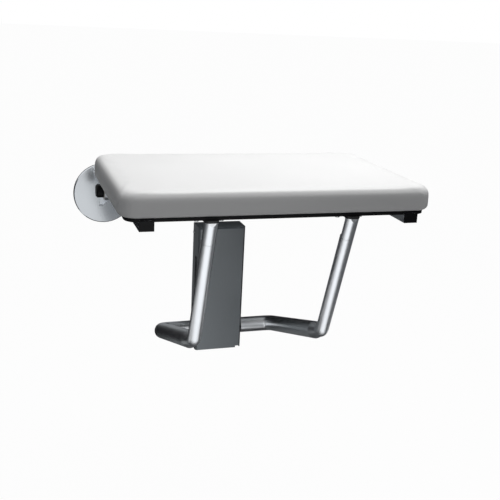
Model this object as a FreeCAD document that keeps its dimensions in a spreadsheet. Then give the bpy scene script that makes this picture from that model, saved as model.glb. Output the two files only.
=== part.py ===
import FreeCAD, Part
import math
import os
import re
import Sketcher

# Fold down wall seat: padded seat on two wall hinges, propped by a tube frame
# whose axle slides in a steel guide box on the wall.
# X runs along the wall, Y points into the wall, Z is up, the room is on the -Y side.
# The origin is on the wall face, at the centre of the guide plate's bolt pattern.

Vec = FreeCAD.Vector
ALONG_X = FreeCAD.Rotation(Vec(0, 1, 0), 90)
BRACKET_ROWS = ("(bracket_depth - bracket_screw_y) / 2", "(bracket_depth + bracket_screw_y) / 2")

# Driving sizes in millimetres and degrees. "reach" is a distance from the wall.
SIZES = {
    "seat_width": 580, "seat_depth": 370, "cushion_thickness": 45,
    "cushion_corner": 30, "cushion_crown": 15, "cushion_foot": 3, "soft_clearance": 0.3,
    "deck_height": 273, "wall_gap": 75,
    "board_inset": 8, "board_side_inset": 14, "board_thickness": 6, "board_corner": 24, "board_skin": 3,
    "rail_inset": 48, "rail_width": 25.4, "rail_height": 17.5, "rail_wall": 1.65,
    "rail_setback": 5, "plug_head": 3, "plug_shank": 14, "plug_fit": 0.15,
    "hinge_reach": 85, "hinge_drop": 32, "hinge_tube_radius": 12.7, "hinge_tube_wall": 1.65,
    "hinge_end_clearance": 1.5, "hinge_plug_head": 15, "hinge_plug_radius": 14,
    "hinge_plug_bevel": 3,
    "ear_thickness": 8, "ear_radius": 20, "ear_rail_clearance": 1.8, "fold_clearance": 3,
    "ear_foot": 37, "bush_wall": 2.5, "bush_flange": 1.2, "bush_flange_radius": 18,
    "running_clearance": 0.05, "press_clearance": 0.02,
    "flange_offset": 12, "flange_drop": 56, "plate_grip": 0.1, "plate_thickness": 5,
    "flange_pcd": 92, "flange_hole": 3.3, "flange_countersink": 6.2,
    "cover_radius": 64, "cover_depth": 7, "cover_sheet": 1.2, "cover_bevel": 2,
    "cover_slot_clearance": 0.4,
    "guide_width": 107, "guide_height": 290, "guide_reach": 50, "guide_sheet": 2,
    "guide_bevel": 4, "notch_width": 12, "notch_height": 4,
    "plate_sheet": 2.5, "plate_fit": 0.3, "tab_depth": 13,
    "guide_bolt_x": 64, "guide_bolt_inset": 18, "guide_hole": 3.5,
    "cover_screw_inset": 20, "cover_screw_radius": 2, "cover_screw_head": 3.8, "cover_screw_length": 7,
    "axle_radius": 8, "axle_reach": 30, "axle_inset": 47.5, "axle_grip": 22, "slot_clearance": 0.6,
    "travel_spare": 0.4, "block_width": 80, "block_height": 40, "block_clearance": 0.3,
    "stop_height": 20, "stop_width": 40,
    "spring_width": 24, "spring_length": 56, "spring_sheet": 0.8, "spring_pocket": 3,
    "lower_tube_radius": 17.5, "lower_tube_wall": 1.65, "lower_tube_bend": 20, "tube_gap": 1.5,
    "frame_spacing": 260, "elbow_reach": 338, "elbow_height": 7, "elbow_bend": 20, "neck_length": 22,
    "leg_radius": 12.7, "leg_wall": 1.65, "leg_solid_end": 38, "fork_radius": 10.6, "fork_shoulder": 14,
    "fork_slot": 8, "fork_depth": 13,
    "pin_setback": 23, "pin_drop": 36.5, "pin_radius": 5, "pin_half_length": 9.6, "pin_bevel": 0.8,
    "tongue_thickness": 7, "tongue_radius": 12, "bracket_base": 4, "bracket_width": 62,
    "bracket_depth": 22, "bracket_screw_x": 44, "bracket_screw_y": 11,
    "sleeve_gap": 0.5, "sleeve_clearance": 0.3, "sleeve_setback": 2,
    "screw_radius": 2.4, "screw_head_radius": 4.4, "screw_head": 2.2, "screw_bite": 4,
    "mouth_up": 38, "mouth_down": 20,
    "board_screw_count": 3, "board_screw_inset": 48.5, "board_screw_hole": 2, "channel_overrun": 1,
}

# Places and sizes that follow from the driving ones. Reaches are measured from the wall.
FORMULAS = {
    "hinge_height": "deck_height - hinge_drop",
    "front_reach": "wall_gap + seat_depth",
    "rail_x": "seat_width / 2 - rail_inset",
    "rail_top": "deck_height - board_skin",
    "rail_bottom": "deck_height - board_skin - rail_height",
    "rail_front": "wall_gap + seat_depth - rail_setback",
    "rail_rear": "wall_gap + board_inset",
    "rail_length": "rail_front - rail_rear",
    "board_screw_length": "rail_height + 0.75 * board_screw_hole",
    "board_screw_spacing": "(rail_length - 2 * board_screw_inset) / (board_screw_count - 1)",
    "ear_x": "rail_x + rail_width / 2 + ear_rail_clearance + ear_thickness / 2",
    "hinge_half": "ear_x + ear_thickness / 2 + hinge_end_clearance",
    "bush_outer": "hinge_tube_radius + running_clearance + bush_wall",
    "ear_bore": "bush_outer + press_clearance",
    "flange_x": "rail_x + flange_offset",
    "flange_height": "deck_height - flange_drop",
    "cover_inner": "cover_radius - cover_sheet - cover_bevel / 2",
    "plate_radius": "cover_inner - plate_grip",
    "guide_inner": "guide_width / 2 - guide_sheet",
    "guide_bolt_z": "guide_height - 2 * guide_bolt_inset",
    "cover_screw_z": "guide_height - 2 * cover_screw_inset",
    "axle_drop": "guide_height / 2 - axle_inset",
    "block_front": "guide_reach - guide_sheet - block_clearance",
    "block_rear": "plate_sheet + block_clearance",
    "slot_radius": "axle_radius + slot_clearance",
    "tube_start": "guide_width / 2 + tube_gap",
    "frame_x": "frame_spacing / 2",
    "arm_run": "elbow_reach - axle_reach",
    "arm_rise": "elbow_height + axle_drop",
    "arm_length": "sqrt(pow(arm_run; 2) + pow(arm_rise; 2))",
    "arm_tilt": "atan2(arm_rise; arm_run)",
    "pin_reach": "front_reach - pin_setback",
    "pin_height": "deck_height - pin_drop",
    "strut_square": "pow(pin_reach - axle_reach; 2) + pow(pin_height + axle_drop; 2)",
    "folded_offset": "hinge_reach + hinge_height - pin_height - axle_reach",
    "folded_pin": "hinge_height + pin_reach - hinge_reach",
    "axle_rise": "folded_pin - sqrt(strut_square - pow(folded_offset; 2)) + axle_drop",
    "axle_travel": "axle_rise + travel_spare",
    "leg_run": "pin_reach - elbow_reach",
    "leg_rise": "pin_height - elbow_height",
    "leg_length": "sqrt(pow(leg_run; 2) + pow(leg_rise; 2))",
    "leg_angle": "atan2(leg_rise; leg_run)",
    "elbow_turn": "leg_angle - arm_tilt",
    "elbow_tangent": "elbow_bend * tan(elbow_turn / 2)",
    "arm_end": "arm_length - elbow_tangent - neck_length",
    "leg_down": "leg_length - elbow_tangent",
    "board_bottom": "deck_height - board_thickness",
    "bracket_top": "pin_drop - board_thickness",
    "bracket_low": "bracket_top - bracket_base",
    "screw_slip": "screw_radius + running_clearance",
}

doc = FreeCAD.newDocument("FoldDownSeat")
sheet = doc.addObject("Spreadsheet::Sheet", "Sizes")
parts = []


def fill_sheet():
    """Write each driving size as a plain number with its alias."""
    for row, (alias, number) in enumerate(SIZES.items(), start=1):
        sheet.set(f"A{row}", alias)
        sheet.set(f"B{row}", str(number))
        sheet.setAlias(f"B{row}", alias)
    doc.recompute()


def ex(text):
    """Turn named sizes and formulas into an expression on the sheet's cells."""
    def swap(match):
        word = match.group(0)
        if word in SIZES:
            return "Sizes." + word
        if word in FORMULAS:
            return "(" + ex(FORMULAS[word]) + ")"
        return word
    return re.sub(r"[a-z_][a-z_0-9]*", swap, str(text))


def val(text):
    """The present value of a named expression."""
    return float(FreeCAD.Units.Quantity(sheet.evalExpression(ex(text))).Value)


def place(item, x="0", y="0", z="0", rotation=None, turn=None):
    """Set the placement by expressions; turn is an angle about X."""
    if turn is not None:
        item.Placement = FreeCAD.Placement(Vec(), FreeCAD.Rotation(Vec(1, 0, 0), val(turn)))
        item.setExpression("Placement.Rotation.Angle", ex(turn))
    elif rotation is not None:
        item.Placement = FreeCAD.Placement(Vec(), rotation)
    for axis, text in zip("xyz", (x, y, z)):
        item.setExpression("Placement.Base." + axis, ex(text))
    return item


def keep(item, label):
    """Name a finished sub-part; its label is also its file name."""
    item.Label = label
    parts.append(item)
    return item


def primitive(kind, **sizes):
    """A Part primitive with its sizes bound to expressions."""
    item = doc.addObject("Part::" + kind, kind)
    for name, text in sizes.items():
        item.setExpression(name, ex(text))
    return item


def block(x0, x1, y0, y1, z0, z1):
    """A box between two corners given as expressions."""
    item = primitive("Box", Length=f"({x1}) - ({x0})", Width=f"({y1}) - ({y0})", Height=f"({z1}) - ({z0})")
    return place(item, x0, y0, z0)


def rod(radius, x0, x1, y="0", z="0"):
    """A cylinder along X."""
    item = primitive("Cylinder", Radius=radius, Height=f"({x1}) - ({x0})")
    return place(item, x0, y, z, rotation=ALONG_X)


def cut(base, *tools):
    """Subtract the tools one after another."""
    for tool in tools:
        item = doc.addObject("Part::Cut", "Cut")
        item.Base, item.Tool = base, tool
        base = item
    return base


def fuse(*shapes):
    item = doc.addObject("Part::MultiFuse", "Fuse")
    item.Shapes = list(shapes)
    return item


def common(base, tool):
    item = doc.addObject("Part::Common", "Common")
    item.Base, item.Tool = base, tool
    return item


def new_body(name):
    return doc.addObject("PartDesign::Body", name)


def origin_feature(body, role):
    return [f for f in body.Origin.OriginFeatures if f.Role == role][0]


def new_sketch(body, plane, offset=None):
    """A sketch on one of the body's own planes; offset moves it along the plane's normal."""
    sketch = body.newObject("Sketcher::SketchObject", "Sketch")
    sketch.AttachmentSupport = (origin_feature(body, plane), [""])
    sketch.MapMode = "FlatFace"
    if offset is not None:
        sketch.setExpression("AttachmentOffset.Base.z", ex(offset))
    return sketch


def pin_point(sketch, geo, pos, x, y):
    """Hold one sketch point at a place given by two expressions."""
    for kind, text in (("DistanceX", x), ("DistanceY", y)):
        index = sketch.addConstraint(Sketcher.Constraint(kind, -1, 1, geo, pos, val(text)))
        sketch.setExpression(f"Constraints[{index}]", ex(text))


def polygon(sketch, points):
    """Closed straight outline whose corners are pairs of expressions."""
    spots = [Vec(val(x), val(y), 0) for x, y in points]
    first = sketch.GeometryCount
    count = len(points)
    for i in range(count):
        sketch.addGeometry(Part.LineSegment(spots[i], spots[(i + 1) % count]), False)
    for i in range(count):
        sketch.addConstraint(Sketcher.Constraint("Coincident", first + i, 2, first + (i + 1) % count, 1))
    for i, (x, y) in enumerate(points):
        pin_point(sketch, first + i, 1, x, y)


def circle(sketch, x, y, radius):
    geo = sketch.addGeometry(Part.Circle(Vec(val(x), val(y), 0), Vec(0, 0, 1), val(radius)), False)
    index = sketch.addConstraint(Sketcher.Constraint("Radius", geo, val(radius)))
    sketch.setExpression(f"Constraints[{index}]", ex(radius))
    if (x, y) == ("0", "0"):
        sketch.addConstraint(Sketcher.Constraint("Coincident", geo, 3, -1, 1))
    else:
        pin_point(sketch, geo, 3, x, y)


def rectangle(sketch, x0, y0, x1, y1):
    polygon(sketch, [(x0, y0), (x1, y0), (x1, y1), (x0, y1)])


def pad(body, sketch, length, midplane=False, reverse=False):
    item = body.newObject("PartDesign::Pad", "Pad")
    item.Profile = sketch
    item.Midplane = midplane
    item.Reversed = reverse
    item.setExpression("Length", ex(length))
    doc.recompute()
    return item


def pocket(body, sketch, length=None, midplane=False, reverse=False):
    """Cut a sketch into the body and make sure that it removed something."""
    before = body.Shape.Volume
    item = body.newObject("PartDesign::Pocket", "Pocket")
    item.Profile = sketch
    item.Midplane = midplane
    item.Reversed = reverse
    if length is None:
        item.Type = "ThroughAll"
    else:
        item.setExpression("Length", ex(length))
    doc.recompute()
    if not body.Shape.Volume < before - 1e-3:
        raise RuntimeError(f"pocket in {body.Label} cut nothing")
    return item


def edges_where(shape, test):
    return [f"Edge{i}" for i, edge in enumerate(shape.Edges, start=1) if test(edge)]


def is_vertical(edge):
    """A straight edge along Z."""
    if edge.Curve.TypeId != "Part::GeomLine":
        return False
    return abs(edge.tangentAt(edge.FirstParameter).z) > 0.99


def lies_at(edge, height):
    box = edge.BoundBox
    return abs(box.ZMin - height) < 1e-4 and abs(box.ZMax - height) < 1e-4


def round_edges(body, names, radius, kind="Fillet"):
    last = body.Tip
    item = body.newObject("PartDesign::" + kind, kind)
    item.Base = (last, names)
    item.setExpression("Radius" if kind == "Fillet" else "Size", ex(radius))
    doc.recompute()
    return item


def turned(name, points):
    """A body turned about X from a profile of (length, radius) pairs."""
    body = new_body(name)
    sketch = new_sketch(body, "XY_Plane")
    polygon(sketch, points)
    item = body.newObject("PartDesign::Revolution", "Turn")
    item.Profile = sketch
    item.ReferenceAxis = (origin_feature(body, "X_Axis"), [""])
    item.Angle = 360
    doc.recompute()
    return body


def group(label, master, spots):
    """One node of identical fasteners, as separate solids at the given placements."""
    shapes = []
    for spot in spots:
        shape = master.Shape.copy()
        shape.Placement = spot
        shapes.append(shape)
    item = doc.addObject("Part::Feature", label)
    item.Shape = Part.makeCompound(shapes)
    return keep(item, label)


def each_side():
    """The name, sign and prefix of the two mirrored sides."""
    return (("left", "-"), ("right", ""))


def make_cushion():
    """Padded seat cushion: slab with round corners, a full round top edge and a small lower one."""
    body = new_body("Cushion")
    sketch = new_sketch(body, "XY_Plane")
    rectangle(sketch, "-seat_width / 2", "-seat_depth / 2", "seat_width / 2", "seat_depth / 2")
    pad(body, sketch, "cushion_thickness - soft_clearance")
    round_edges(body, edges_where(body.Shape, is_vertical), "cushion_corner")
    top = val("cushion_thickness - soft_clearance")
    round_edges(body, edges_where(body.Shape, lambda edge: lies_at(edge, top)), "cushion_crown")
    round_edges(body, edges_where(body.Shape, lambda edge: lies_at(edge, 0)), "cushion_foot")
    place(body, "0", "-wall_gap - seat_depth / 2", "deck_height + soft_clearance")
    return keep(body, "seat_cushion")


def bracket_screw_spots():
    """Centres of the leg bracket screws, as (x, y) expressions."""
    spots = []
    for side in ("-", "+"):
        for dx in ("-", "+"):
            for y in BRACKET_ROWS:
                spots.append((f"{side}frame_x {dx} bracket_screw_x / 2", f"-pin_reach + {y}"))
    return spots


def board_screw_spots():
    """Centres of the screws that hold the rails to the board, as (x, y) expressions."""
    spots = []
    middle = "(rail_front + rail_rear) / 2"
    count = int(round(val("board_screw_count")))
    for side in ("-", "+"):
        for i in range(count):
            shift = i - (count - 1) / 2
            spots.append((f"{side}rail_x", f"-{middle} + ({shift}) * board_screw_spacing"))
    return spots


def make_board():
    """Black backing board with two channels for the rails and blind screw holes."""
    body = new_body("Board")
    sketch = new_sketch(body, "XY_Plane")
    rectangle(sketch, "board_side_inset - seat_width / 2", "-front_reach + board_inset",
              "seat_width / 2 - board_side_inset", "-wall_gap - board_inset")
    pad(body, sketch, "board_thickness")
    round_edges(body, edges_where(body.Shape, is_vertical), "board_corner")
    channels = new_sketch(body, "XY_Plane")
    for side in ("-", "+"):
        rectangle(channels, f"{side}rail_x - rail_width / 2 - plug_fit", "-front_reach - channel_overrun",
                  f"{side}rail_x + rail_width / 2 + plug_fit", "-wall_gap + channel_overrun")
    pocket(body, channels, "board_thickness - board_skin", reverse=True)
    bracket_holes = new_sketch(body, "XY_Plane")
    for x, y in bracket_screw_spots():
        circle(bracket_holes, x, y, "screw_slip")
    pocket(body, bracket_holes, "screw_bite + running_clearance", reverse=True)
    rail_holes = new_sketch(body, "XY_Plane", "board_thickness - board_skin")
    for x, y in board_screw_spots():
        circle(rail_holes, x, y, "screw_slip")
    pocket(body, rail_holes, "board_screw_hole", reverse=True)
    place(body, "0", "0", "board_bottom")
    return keep(body, "seat_board")


def tube_clearance(centre):
    """A cutter that makes room for the hinge tube under one rail."""
    return rod("hinge_tube_radius + running_clearance", f"{centre} - rail_width",
               f"{centre} + rail_width", "-hinge_reach", "hinge_height")


def make_rails():
    """Square side rails, open inside, coped to the hinge tube and drilled for the board screws."""
    for name, sign in each_side():
        centre = f"{sign}rail_x"
        outer = block(f"{centre} - rail_width / 2", f"{centre} + rail_width / 2",
                      "-rail_front", "-rail_rear", "rail_bottom", "rail_top")
        inner = block(f"{centre} - rail_width / 2 + rail_wall", f"{centre} + rail_width / 2 - rail_wall",
                      "-rail_front - 1", "-rail_rear + 1", "rail_bottom + rail_wall", "rail_top - rail_wall")
        drills = []
        for x, y in board_screw_spots():
            if x.startswith("-") == (sign == "-"):
                drill = primitive("Cylinder", Radius="screw_slip", Height="rail_height + 2")
                drills.append(place(drill, x, y, "rail_bottom - 1"))
        keep(cut(outer, inner, tube_clearance(centre), *drills), f"{name}_seat_rail")


def make_rail_plugs():
    """Black square plugs in both ends of each rail."""
    for name, sign in each_side():
        centre = f"{sign}rail_x"
        for end, face, way in (("front", "-rail_front", -1), ("rear", "-rail_rear", 1)):
            near, far = f"{face}", f"{face} + ({way}) * plug_head"
            y0, y1 = (far, near) if way < 0 else (near, far)
            head = block(f"{centre} - rail_width / 2", f"{centre} + rail_width / 2", y0, y1,
                         "rail_bottom", "rail_top")
            back = f"{face} - ({way}) * plug_shank"
            s0, s1 = (near, back) if way < 0 else (back, near)
            edge = "(rail_wall + plug_fit)"
            shank = block(f"{centre} - rail_width / 2 + {edge}", f"{centre} + rail_width / 2 - {edge}",
                          s0, s1, f"rail_bottom + {edge}", f"rail_top - {edge}")
            plug = fuse(head, shank)
            if end == "rear":
                plug = cut(plug, tube_clearance(centre))
            keep(plug, f"{name}_{end}_rail_plug")


def make_hinge_tube():
    """Round tube across the back of the seat, turning in the wall bushes."""
    inner = "hinge_tube_radius - hinge_tube_wall"
    body = turned("HingeTube", [("-hinge_half", inner), ("hinge_half", inner),
                                ("hinge_half", "hinge_tube_radius"), ("-hinge_half", "hinge_tube_radius")])
    place(body, "0", "-hinge_reach", "hinge_height")
    keep(body, "hinge_tube")


def make_hinge_plugs():
    """Black end plugs that close the hinge tube and hold it between the ears."""
    head = "hinge_plug_radius"
    shank = "hinge_tube_radius - hinge_tube_wall - plug_fit"
    for name, sign in each_side():
        way = -1 if sign == "-" else 1
        profile = [("0", "0"), (f"({way}) * hinge_plug_head", "0"),
                   (f"({way}) * hinge_plug_head", f"{head} - hinge_plug_bevel"),
                   (f"({way}) * (hinge_plug_head - hinge_plug_bevel)", head), ("0", head), ("0", shank),
                   (f"({-way}) * plug_shank", shank), (f"({-way}) * plug_shank", "0")]
        body = turned("HingePlug", profile)
        place(body, f"{sign}hinge_half + ({way}) * running_clearance", "-hinge_reach", "hinge_height")
        keep(body, f"{name}_hinge_plug")


def make_hinge_bushes():
    """Nylon bushes with a flange on each face of the ear."""
    bore, outer = "hinge_tube_radius + running_clearance", "bush_outer"
    half = "ear_thickness / 2 + running_clearance"
    rim = f"{half} + bush_flange"
    profile = [(f"-({rim})", bore), (rim, bore), (rim, "bush_flange_radius"), (half, "bush_flange_radius"),
               (half, outer), (f"-({half})", outer), (f"-({half})", "bush_flange_radius"),
               (f"-({rim})", "bush_flange_radius")]
    for name, sign in each_side():
        body = turned("Bush", profile)
        place(body, f"{sign}ear_x", "-hinge_reach", "hinge_height")
        keep(body, f"{name}_hinge_bush")


def make_hinge_ears():
    """Plate ears that stand out of the wall plates and carry the hinge tube."""
    foot = "plate_thickness"
    outline = [(f"-{foot}", "wall_gap - hinge_reach - fold_clearance"),
               ("-hinge_reach", "wall_gap - hinge_reach - fold_clearance"),
               ("-hinge_reach", "-ear_radius"),
               (f"-{foot}", "wall_gap - hinge_reach - fold_clearance - ear_foot")]
    for name, sign in each_side():
        body = new_body("Ear")
        plate = new_sketch(body, "YZ_Plane")
        polygon(plate, outline)
        pad(body, plate, "ear_thickness", midplane=True)
        eye = new_sketch(body, "YZ_Plane")
        circle(eye, "-hinge_reach", "0", "ear_radius")
        pad(body, eye, "ear_thickness", midplane=True)
        bore = new_sketch(body, "YZ_Plane")
        circle(bore, "-hinge_reach", "0", "ear_bore")
        pocket(body, bore, midplane=True)
        place(body, f"{sign}ear_x", "0", "hinge_height")
        keep(body, f"{name}_hinge_ear")


def make_wall_plates():
    """Round steel plates with four countersunk holes, screwed to the wall."""
    for name, sign in each_side():
        body = new_body("WallPlate")
        disc = new_sketch(body, "XZ_Plane")
        circle(disc, "0", "0", "plate_radius")
        pad(body, disc, "plate_thickness")
        sketch = new_sketch(body, "XY_Plane")
        centre = "flange_pcd / 2"
        sink = "flange_countersink - flange_hole"
        polygon(sketch, [(centre, "1"), (f"{centre} + flange_hole", "1"),
                         (f"{centre} + flange_hole", f"{sink} - plate_thickness"),
                         (f"{centre} + flange_countersink", "-plate_thickness"),
                         (f"{centre} + flange_countersink", "-plate_thickness - 1"),
                         (centre, "-plate_thickness - 1")])
        axis = sketch.addGeometry(Part.LineSegment(Vec(val(centre), 0, 0), Vec(val(centre), -1, 0)), True)
        pin_point(sketch, axis, 1, centre, "0")
        pin_point(sketch, axis, 2, centre, "-plate_thickness")
        before = body.Shape.Volume
        hole = body.newObject("PartDesign::Groove", "ScrewHole")
        hole.Profile = sketch
        hole.ReferenceAxis = (sketch, ["Axis0"])
        hole.Angle = 360
        doc.recompute()
        ring = body.newObject("PartDesign::PolarPattern", "ScrewHoles")
        ring.Originals = [hole]
        ring.Axis = (origin_feature(body, "Y_Axis"), [""])
        ring.Angle = 360
        ring.Occurrences = 4
        body.Tip = ring
        doc.recompute()
        if not body.Shape.Volume < before - 100:
            raise RuntimeError("the wall plate's holes cut nothing")
        place(body, f"{sign}flange_x", "0", "flange_height")
        body.Placement.Rotation = FreeCAD.Rotation(Vec(0, 1, 0), 45)
        keep(body, f"{name}_wall_plate")


def make_flange_covers():
    """Polished round covers that hide the wall plates, each slotted for its ear."""
    for name, sign in each_side():
        body = new_body("FlangeCover")
        disc = new_sketch(body, "XZ_Plane")
        circle(disc, "0", "0", "cover_radius")
        pad(body, disc, "cover_depth")
        front = -val("cover_depth")
        rim = edges_where(body.Shape, lambda edge: abs(edge.BoundBox.YMin - front) < 1e-4
                          and abs(edge.BoundBox.YMax - front) < 1e-4)
        round_edges(body, rim, "cover_bevel", kind="Chamfer")
        hollow = new_sketch(body, "XZ_Plane")
        circle(hollow, "0", "0", "cover_inner")
        pocket(body, hollow, "cover_depth - cover_sheet", reverse=True)
        slot = new_sketch(body, "XZ_Plane")
        centre = f"{sign}(ear_x - flange_x)"
        top = "hinge_height - flange_height + wall_gap - hinge_reach - fold_clearance"
        rectangle(slot, f"{centre} - ear_thickness / 2 - cover_slot_clearance",
                  f"{top} - ear_foot - cover_slot_clearance",
                  f"{centre} + ear_thickness / 2 + cover_slot_clearance", f"{top} + cover_slot_clearance")
        pocket(body, slot, reverse=True)
        place(body, f"{sign}flange_x", "0", "flange_height")
        keep(body, f"{name}_flange_cover")


def make_guide_plate():
    """Back plate of the guide: four wall holes and two side tabs for the cover's screws."""
    half = "guide_inner - plate_fit"
    top = "guide_height / 2 - guide_sheet - plate_fit"
    body = new_body("GuidePlate")
    sheet_outline = new_sketch(body, "XZ_Plane")
    rectangle(sheet_outline, f"-({half})", "-guide_height / 2", half, top)
    pad(body, sheet_outline, "plate_sheet")
    tabs = new_sketch(body, "XZ_Plane")
    rectangle(tabs, f"-({half})", "-guide_height / 2", f"-({half}) + plate_sheet", top)
    rectangle(tabs, f"{half} - plate_sheet", "-guide_height / 2", half, top)
    pad(body, tabs, "tab_depth")
    holes = new_sketch(body, "XZ_Plane")
    for x in ("-guide_bolt_x / 2", "guide_bolt_x / 2"):
        for z in ("-guide_bolt_z / 2", "guide_bolt_z / 2"):
            circle(holes, x, z, "guide_hole")
    pocket(body, holes, reverse=True)
    sides = new_sketch(body, "YZ_Plane")
    for z in ("-cover_screw_z / 2", "cover_screw_z / 2"):
        circle(sides, "-(tab_depth + plate_sheet) / 2", z, "cover_screw_radius + running_clearance")
    pocket(body, sides, midplane=True)
    place(body)
    keep(body, "guide_back_plate")


def slot_outline(sketch, x, y0, y1, radius):
    """An upright slot with round ends."""
    low, high = Vec(val(x), val(y0), 0), Vec(val(x), val(y1), 0)
    r = val(radius)
    normal = Vec(0, 0, 1)
    top = sketch.addGeometry(Part.ArcOfCircle(Part.Circle(high, normal, r), 0, math.pi), False)
    left = sketch.addGeometry(Part.LineSegment(high - Vec(r, 0, 0), low - Vec(r, 0, 0)), False)
    under = Part.ArcOfCircle(Part.Circle(low, normal, r), math.pi, 2 * math.pi)
    bottom = sketch.addGeometry(under, False)
    right = sketch.addGeometry(Part.LineSegment(low + Vec(r, 0, 0), high + Vec(r, 0, 0)), False)
    for first, end, second, start in ((top, 2, left, 1), (left, 2, bottom, 1), (bottom, 2, right, 1),
                                      (right, 2, top, 1)):
        sketch.addConstraint(Sketcher.Constraint("Tangent", first, end, second, start))
    pin_point(sketch, top, 3, x, y1)
    pin_point(sketch, bottom, 3, x, y0)
    index = sketch.addConstraint(Sketcher.Constraint("Radius", top, r))
    sketch.setExpression(f"Constraints[{index}]", ex(radius))


def make_guide_cover():
    """Folded steel box over the guide, open below, with an upright axle slot in each side."""
    body = new_body("GuideCover")
    face = new_sketch(body, "XZ_Plane")
    rectangle(face, "-guide_width / 2", "-guide_height / 2", "guide_width / 2", "guide_height / 2")
    pad(body, face, "guide_reach")
    front, top, side = -val("guide_reach"), val("guide_height / 2"), val("guide_width / 2")

    def on_front_rim(edge):
        box = edge.BoundBox
        at_front = abs(box.YMin - front) < 1e-4 and abs(box.YMax - front) < 1e-4
        at_top = abs(box.ZMin - top) < 1e-4
        at_side = abs(abs(box.XMin) - side) < 1e-4 and abs(box.XMax - box.XMin) < 1e-4
        return at_front and (at_top or at_side)

    round_edges(body, edges_where(body.Shape, on_front_rim), "guide_bevel", kind="Chamfer")
    inside = new_sketch(body, "XZ_Plane")
    rectangle(inside, "-guide_inner", "-guide_height / 2 - 1",
              "guide_inner", "guide_height / 2 - guide_sheet")
    pocket(body, inside, "guide_reach - guide_bevel", reverse=True)
    throat = new_sketch(body, "XZ_Plane")
    narrow = "guide_inner - guide_bevel + guide_sheet / 2"
    rectangle(throat, f"-({narrow})", "-guide_height / 2 - 1", narrow,
              "guide_height / 2 - guide_bevel - guide_sheet / 2")
    pocket(body, throat, "guide_reach - guide_sheet", reverse=True)
    notch = new_sketch(body, "XY_Plane", "-guide_height / 2")
    rectangle(notch, "guide_width / 2 - notch_width", "-guide_reach - 1", "guide_width / 2 + 1",
              "-guide_reach + guide_bevel")
    pocket(body, notch, "notch_height", reverse=True)
    slots = new_sketch(body, "YZ_Plane")
    slot_outline(slots, "-axle_reach", "-axle_drop", "axle_travel - axle_drop", "slot_radius")
    pocket(body, slots, midplane=True)
    holes = new_sketch(body, "YZ_Plane")
    for z in ("-cover_screw_z / 2", "cover_screw_z / 2"):
        circle(holes, "-(tab_depth + plate_sheet) / 2", z, "cover_screw_radius + running_clearance")
    pocket(body, holes, midplane=True)
    place(body)
    keep(body, "guide_cover")


def make_guide_screws():
    """Four pan head screws that hold the cover to the plate's tabs."""
    head, shank = "cover_screw_head", "cover_screw_radius"
    tall, bevel = "cover_screw_head / 2", "cover_screw_head / 6"
    master = turned("CoverScrew", [("0", "0"), (tall, "0"), (tall, f"{head} - {bevel}"),
                                   (f"{tall} - {bevel}", head), ("0", head), ("0", shank),
                                   ("-cover_screw_length", shank), ("-cover_screw_length", "0")])
    x, y = val("guide_width / 2 + running_clearance"), -val("(tab_depth + plate_sheet) / 2")
    spots = []
    for side in (-1, 1):
        turn = FreeCAD.Rotation(Vec(0, 0, 1), 0 if side > 0 else 180)
        for z in (-val("cover_screw_z / 2"), val("cover_screw_z / 2")):
            spots.append(FreeCAD.Placement(Vec(side * x, y, z), turn))
    group("guide_cover_screws", master, spots)


def make_slider():
    """Nylon block that carries the axle up and down the guide, with a drag spring behind it."""
    half = "block_width / 2"
    body = block(f"-{half}", half, "-block_front", "-block_rear", "-block_height / 2 - axle_drop",
                 "block_height / 2 - axle_drop")
    bore = rod("axle_radius + running_clearance", f"-{half} - 1", f"{half} + 1", "-axle_reach", "-axle_drop")
    recess = block("-spring_length / 2 - 1", "spring_length / 2 + 1", "-block_rear - spring_pocket",
                   "-block_rear + 1", "-spring_width / 2 - 1 - axle_drop", "spring_width / 2 + 1 - axle_drop")
    keep(cut(body, bore, recess), "slide_block")
    spring = new_body("DragSpring")
    sketch = new_sketch(spring, "XY_Plane")
    deep, thin = "(spring_pocket - block_clearance)", "spring_sheet"
    end, flat = "spring_length / 2", "spring_length / 6"
    polygon(sketch, [(f"-{end}", f"-{deep}"), (f"-{flat}", f"-{thin}"), (flat, f"-{thin}"),
                     (end, f"-{deep}"), (end, f"-{deep} + {thin}"), (flat, "0"), (f"-{flat}", "0"),
                     (f"-{end}", f"-{deep} + {thin}")])
    pad(spring, sketch, "spring_width", midplane=True)
    place(spring, "0", "-block_rear", "-axle_drop")
    keep(spring, "drag_spring")


def make_stops():
    """Rubber stops inside the guide, under and over the slide block's travel."""
    low = "-axle_drop - block_height / 2 - block_clearance"
    high = "-axle_drop + axle_travel + block_height / 2 + block_clearance"
    places = (("lower_stop", f"{low} - stop_height", low), ("upper_stop", high, f"{high} + stop_height"))
    for label, z0, z1 in places:
        stop = block("-stop_width / 2", "stop_width / 2", "-block_front", "-plate_sheet", z0, z1)
        keep(stop, label)


def make_axle():
    """Steel axle through the guide's slots and the slide block."""
    end = "tube_start + axle_grip"
    body = turned("Axle", [(f"-({end})", "0"), (end, "0"), (end, "axle_radius"),
                           (f"-({end})", "axle_radius")])
    place(body, "0", "-axle_reach", "-axle_drop")
    keep(body, "guide_axle")
    inner = "axle_radius + press_clearance"
    outer = "lower_tube_radius - lower_tube_wall - press_clearance"
    for name, sign in each_side():
        collar = turned("AxleCollar", [("0", inner), ("axle_grip", inner),
                                       ("axle_grip", outer), ("0", outer)])
        start = "tube_start" if sign == "" else "-tube_start - axle_grip"
        place(collar, start, "-axle_reach", "-axle_drop")
        keep(collar, f"{name}_axle_collar")


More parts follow.
